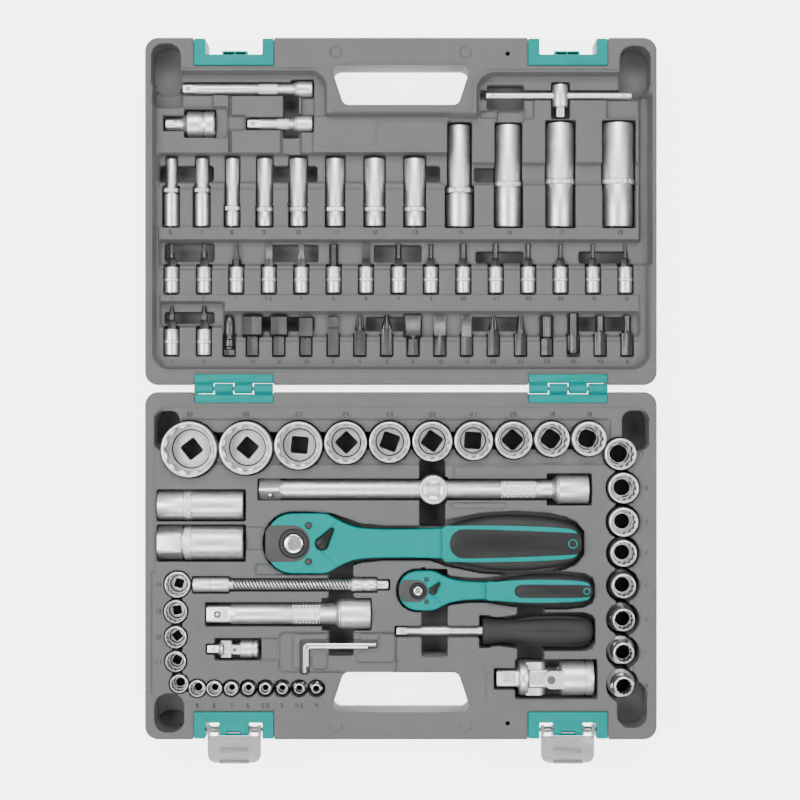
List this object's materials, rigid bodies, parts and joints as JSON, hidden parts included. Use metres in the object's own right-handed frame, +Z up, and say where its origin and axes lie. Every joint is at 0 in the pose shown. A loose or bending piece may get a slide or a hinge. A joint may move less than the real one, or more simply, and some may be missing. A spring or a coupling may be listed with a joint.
{
  "type": "socket wrench set in case",
  "caption": "Double-wall carrying case, open flat, with ratchets, sockets, extensions, universal joints and bits in moulded pockets for turning bolts and nuts.",
  "frame": {"origin": "on the surface under the open case, at the centre of its bounding box", "axes": "+X along the hinge line, +Y from the base to the lid, +Z up"},
  "size_m": [0.386, 0.5476, 0.0505],
  "materials": {
    "case_plastic": "fine moulded grain",
    "teal_plastic": "semi gloss",
    "clear_plastic": "translucent smoky grey",
    "teal_paint": "semi gloss",
    "grip_rubber": "matt",
    "dark_plastic": "satin",
    "steel": "satin",
    "satin_chrome": "satin chrome plating"
  },
  "bodies": {
    "base": {"base_shell": "case_plastic", "hinge_left_base_leaf": "teal_plastic", "hinge_left_pin": "steel", "hinge_right_base_leaf": "teal_plastic", "hinge_right_pin": "steel", "latch_left_bracket": "teal_plastic", "latch_left_pin": "steel", "latch_right_bracket": "teal_plastic", "latch_right_pin": "steel"},
    "lid": {"lid_shell": "case_plastic", "hinge_left_lid_leaf": "teal_plastic", "hinge_right_lid_leaf": "teal_plastic", "catch_left": "teal_plastic", "catch_right": "teal_plastic"},
    "flap_left": {"latch_left_flap": "clear_plastic"},
    "flap_right": {"latch_right_flap": "clear_plastic"},
    "socket_32mm": {"socket_32mm": "satin_chrome"},
    "socket_30mm": {"socket_30mm": "satin_chrome"},
    "socket_27mm": {"socket_27mm": "satin_chrome"},
    "socket_24mm": {"socket_24mm": "satin_chrome"},
    "socket_23mm": {"socket_23mm": "satin_chrome"},
    "socket_22mm": {"socket_22mm": "satin_chrome"},
    "socket_21mm": {"socket_21mm": "satin_chrome"},
    "socket_20mm": {"socket_20mm": "satin_chrome"},
    "socket_19mm": {"socket_19mm": "satin_chrome"},
    "socket_18mm": {"socket_18mm": "satin_chrome"},
    "half_inch_sockets_10_to_17mm": {"half_inch_sockets_10_to_17mm": "satin_chrome"},
    "quarter_inch_sockets_4_to_14mm": {"quarter_inch_sockets_4_to_14mm": "satin_chrome"},
    "spark_plug_socket_16mm": {"spark_plug_socket_16mm": "satin_chrome"},
    "spark_plug_socket_21mm": {"spark_plug_socket_21mm": "satin_chrome"},
    "extension_250mm": {"extension_250mm": "satin_chrome"},
    "extension_125mm": {"extension_125mm": "satin_chrome"},
    "flexible_extension": {"flexible_extension": "satin_chrome"},
    "hex_key": {"hex_key": "satin_chrome"},
    "driver": {"driver_shaft": "satin_chrome", "driver_handle": "grip_rubber"},
    "three_way_adapter": {"three_way_adapter": "satin_chrome"},
    "large_ratchet": {"large_ratchet_body": "teal_paint", "large_ratchet_grip": "grip_rubber"},
    "large_ratchet_drive": {"large_ratchet_drive": "steel"},
    "large_ratchet_release_button": {"large_ratchet_release_button": "satin_chrome"},
    "large_ratchet_direction_lever": {"large_ratchet_direction_lever": "dark_plastic"},
    "small_ratchet": {"small_ratchet_body": "teal_paint", "small_ratchet_grip": "grip_rubber"},
    "small_ratchet_drive": {"small_ratchet_drive": "steel"},
    "small_ratchet_release_button": {"small_ratchet_release_button": "satin_chrome"},
    "small_ratchet_direction_lever": {"small_ratchet_direction_lever": "dark_plastic"},
    "large_universal_joint": {"large_universal_joint_drive_fork": "satin_chrome"},
    "large_universal_joint_cross": {"large_universal_joint_cross_block": "steel"},
    "large_universal_joint_socket_fork": {"large_universal_joint_socket_fork": "satin_chrome"},
    "small_universal_joint": {"small_universal_joint_drive_fork": "satin_chrome"},
    "small_universal_joint_cross": {"small_universal_joint_cross_block": "steel"},
    "small_universal_joint_socket_fork": {"small_universal_joint_socket_fork": "satin_chrome"},
    "extension_100mm": {"extension_100mm": "satin_chrome"},
    "extension_50mm": {"extension_50mm": "satin_chrome"},
    "bit_adapter": {"bit_adapter": "satin_chrome"},
    "deep_quarter_inch_sockets": {"deep_quarter_inch_sockets": "satin_chrome"},
    "deep_half_inch_sockets": {"deep_half_inch_sockets": "satin_chrome"},
    "tbar": {"tbar_head": "satin_chrome"},
    "tbar_rod": {"tbar_rod": "satin_chrome"}
  },
  "joints": [
    {"name": "lid_hinge", "type": "hinge", "parent": "base", "child": "lid", "pos_m": [0, 0.0092, 0.04425], "axis": [-1, 0, 0], "range_deg": [-180, 0]},
    {"name": "flap_left_hinge", "type": "hinge", "parent": "base", "child": "flap_left", "pos_m": [-0.126, -0.2486, 0.0392], "axis": [1, 0, 0], "range_deg": [-90, 0]},
    {"name": "flap_right_hinge", "type": "hinge", "parent": "base", "child": "flap_right", "pos_m": [0.126, -0.2486, 0.0392], "axis": [1, 0, 0], "range_deg": [-90, 0]},
    {"name": "socket_32mm_lift", "type": "slide", "parent": "base", "child": "socket_32mm", "axis": [0, 0, 1], "range_m": [0, 0.06]},
    {"name": "socket_30mm_lift", "type": "slide", "parent": "base", "child": "socket_30mm", "axis": [0, 0, 1], "range_m": [0, 0.06]},
    {"name": "socket_27mm_lift", "type": "slide", "parent": "base", "child": "socket_27mm", "axis": [0, 0, 1], "range_m": [0, 0.06]},
    {"name": "socket_24mm_lift", "type": "slide", "parent": "base", "child": "socket_24mm", "axis": [0, 0, 1], "range_m": [0, 0.06]},
    {"name": "socket_23mm_lift", "type": "slide", "parent": "base", "child": "socket_23mm", "axis": [0, 0, 1], "range_m": [0, 0.06]},
    {"name": "socket_22mm_lift", "type": "slide", "parent": "base", "child": "socket_22mm", "axis": [0, 0, 1], "range_m": [0, 0.06]},
    {"name": "socket_21mm_lift", "type": "slide", "parent": "base", "child": "socket_21mm", "axis": [0, 0, 1], "range_m": [0, 0.06]},
    {"name": "socket_20mm_lift", "type": "slide", "parent": "base", "child": "socket_20mm", "axis": [0, 0, 1], "range_m": [0, 0.06]},
    {"name": "socket_19mm_lift", "type": "slide", "parent": "base", "child": "socket_19mm", "axis": [0, 0, 1], "range_m": [0, 0.06]},
    {"name": "socket_18mm_lift", "type": "slide", "parent": "base", "child": "socket_18mm", "axis": [0, 0, 1], "range_m": [0, 0.06]},
    {"name": "half_inch_sockets_10_to_17mm_lift", "type": "slide", "parent": "base", "child": "half_inch_sockets_10_to_17mm", "axis": [0, 0, 1], "range_m": [0, 0.06]},
    {"name": "quarter_inch_sockets_4_to_14mm_lift", "type": "slide", "parent": "base", "child": "quarter_inch_sockets_4_to_14mm", "axis": [0, 0, 1], "range_m": [0, 0.06]},
    {"name": "spark_plug_socket_16mm_lift", "type": "slide", "parent": "base", "child": "spark_plug_socket_16mm", "axis": [0, 0, 1], "range_m": [0, 0.06]},
    {"name": "spark_plug_socket_21mm_lift", "type": "slide", "parent": "base", "child": "spark_plug_socket_21mm", "axis": [0, 0, 1], "range_m": [0, 0.06]},
    {"name": "extension_250mm_lift", "type": "slide", "parent": "base", "child": "extension_250mm", "axis": [0, 0, 1], "range_m": [0, 0.06]},
    {"name": "extension_125mm_lift", "type": "slide", "parent": "base", "child": "extension_125mm", "axis": [0, 0, 1], "range_m": [0, 0.06]},
    {"name": "flexible_extension_lift", "type": "slide", "parent": "base", "child": "flexible_extension", "axis": [0, 0, 1], "range_m": [0, 0.06]},
    {"name": "hex_key_lift", "type": "slide", "parent": "base", "child": "hex_key", "axis": [0, 0, 1], "range_m": [0, 0.06]},
    {"name": "driver_lift", "type": "slide", "parent": "base", "child": "driver", "axis": [0, 0, 1], "range_m": [0, 0.06]},
    {"name": "three_way_adapter_slide", "type": "slide", "parent": "extension_250mm", "child": "three_way_adapter", "axis": [1, 0, 0], "range_m": [-0.002, 0.002]},
    {"name": "large_ratchet_lift", "type": "slide", "parent": "base", "child": "large_ratchet", "axis": [0, 0, 1], "range_m": [0, 0.06]},
    {"name": "large_ratchet_drive_spin", "type": "hinge", "parent": "large_ratchet", "child": "large_ratchet_drive", "pos_m": [-0.0807, -0.1074, 0.047], "axis": [0, 0, 1], "continuous": true},
    {"name": "large_ratchet_button_press", "type": "slide", "parent": "large_ratchet_drive", "child": "large_ratchet_release_button", "axis": [0, 0, 1], "range_m": [-0.002, 0], "stiffness_N_per_m": 400, "springref_m": 0.003},
    {"name": "large_ratchet_lever_turn", "type": "hinge", "parent": "large_ratchet", "child": "large_ratchet_direction_lever", "pos_m": [-0.0595, -0.1074, 0.047], "axis": [0, 0, 1], "range_deg": [-50, 0]},
    {"name": "small_ratchet_lift", "type": "slide", "parent": "base", "child": "small_ratchet", "axis": [0, 0, 1], "range_m": [0, 0.06]},
    {"name": "small_ratchet_drive_spin", "type": "hinge", "parent": "small_ratchet", "child": "small_ratchet_drive", "pos_m": [0.0128, -0.1431, 0.046], "axis": [0, 0, 1], "continuous": true},
    {"name": "small_ratchet_button_press", "type": "slide", "parent": "small_ratchet_drive", "child": "small_ratchet_release_button", "axis": [0, 0, 1], "range_m": [-0.0015, 0], "stiffness_N_per_m": 150, "springref_m": 0.003},
    {"name": "small_ratchet_lever_turn", "type": "hinge", "parent": "small_ratchet", "child": "small_ratchet_direction_lever", "pos_m": [0.024, -0.1431, 0.046], "axis": [0, 0, 1], "range_deg": [-50, 0]},
    {"name": "large_universal_joint_lift", "type": "slide", "parent": "base", "child": "large_universal_joint", "axis": [0, 0, 1], "range_m": [0, 0.06]},
    {"name": "large_universal_joint_first_trunnion", "type": "hinge", "parent": "large_universal_joint", "child": "large_universal_joint_cross", "pos_m": [0.10287, -0.2101, 0.034], "axis": [0, -1, 0], "range_deg": [0, 45]},
    {"name": "large_universal_joint_second_trunnion", "type": "hinge", "parent": "large_universal_joint_cross", "child": "large_universal_joint_socket_fork", "pos_m": [0.11321, -0.2101, 0.034], "axis": [0, 0, 1], "range_deg": [-2, 2]},
    {"name": "small_universal_joint_lift", "type": "slide", "parent": "base", "child": "small_universal_joint", "axis": [0, 0, 1], "range_m": [0, 0.06]},
    {"name": "small_universal_joint_first_trunnion", "type": "hinge", "parent": "small_universal_joint", "child": "small_universal_joint_cross", "pos_m": [-0.13072, -0.1876, 0.038], "axis": [0, -1, 0], "range_deg": [0, 45]},
    {"name": "small_universal_joint_second_trunnion", "type": "hinge", "parent": "small_universal_joint_cross", "child": "small_universal_joint_socket_fork", "pos_m": [-0.12542, -0.1876, 0.038], "axis": [0, 0, 1], "range_deg": [-2, 2]},
    {"name": "extension_100mm_lift", "type": "slide", "parent": "lid", "child": "extension_100mm", "axis": [0, 0, 1], "range_m": [0, 0.045]},
    {"name": "extension_50mm_lift", "type": "slide", "parent": "lid", "child": "extension_50mm", "axis": [0, 0, 1], "range_m": [0, 0.045]},
    {"name": "bit_adapter_lift", "type": "slide", "parent": "lid", "child": "bit_adapter", "axis": [0, 0, 1], "range_m": [0, 0.045]},
    {"name": "deep_quarter_inch_sockets_lift", "type": "slide", "parent": "lid", "child": "deep_quarter_inch_sockets", "axis": [0, 0, 1], "range_m": [0, 0.045]},
    {"name": "deep_half_inch_sockets_lift", "type": "slide", "parent": "lid", "child": "deep_half_inch_sockets", "axis": [0, 0, 1], "range_m": [0, 0.045]},
    {"name": "tbar_lift", "type": "slide", "parent": "lid", "child": "tbar", "axis": [0, 0, 1], "range_m": [0, 0.045]},
    {"name": "tbar_rod_slide", "type": "slide", "parent": "tbar", "child": "tbar_rod", "axis": [1, 0, 0], "range_m": [-0.003, 0.003]}
  ]
}
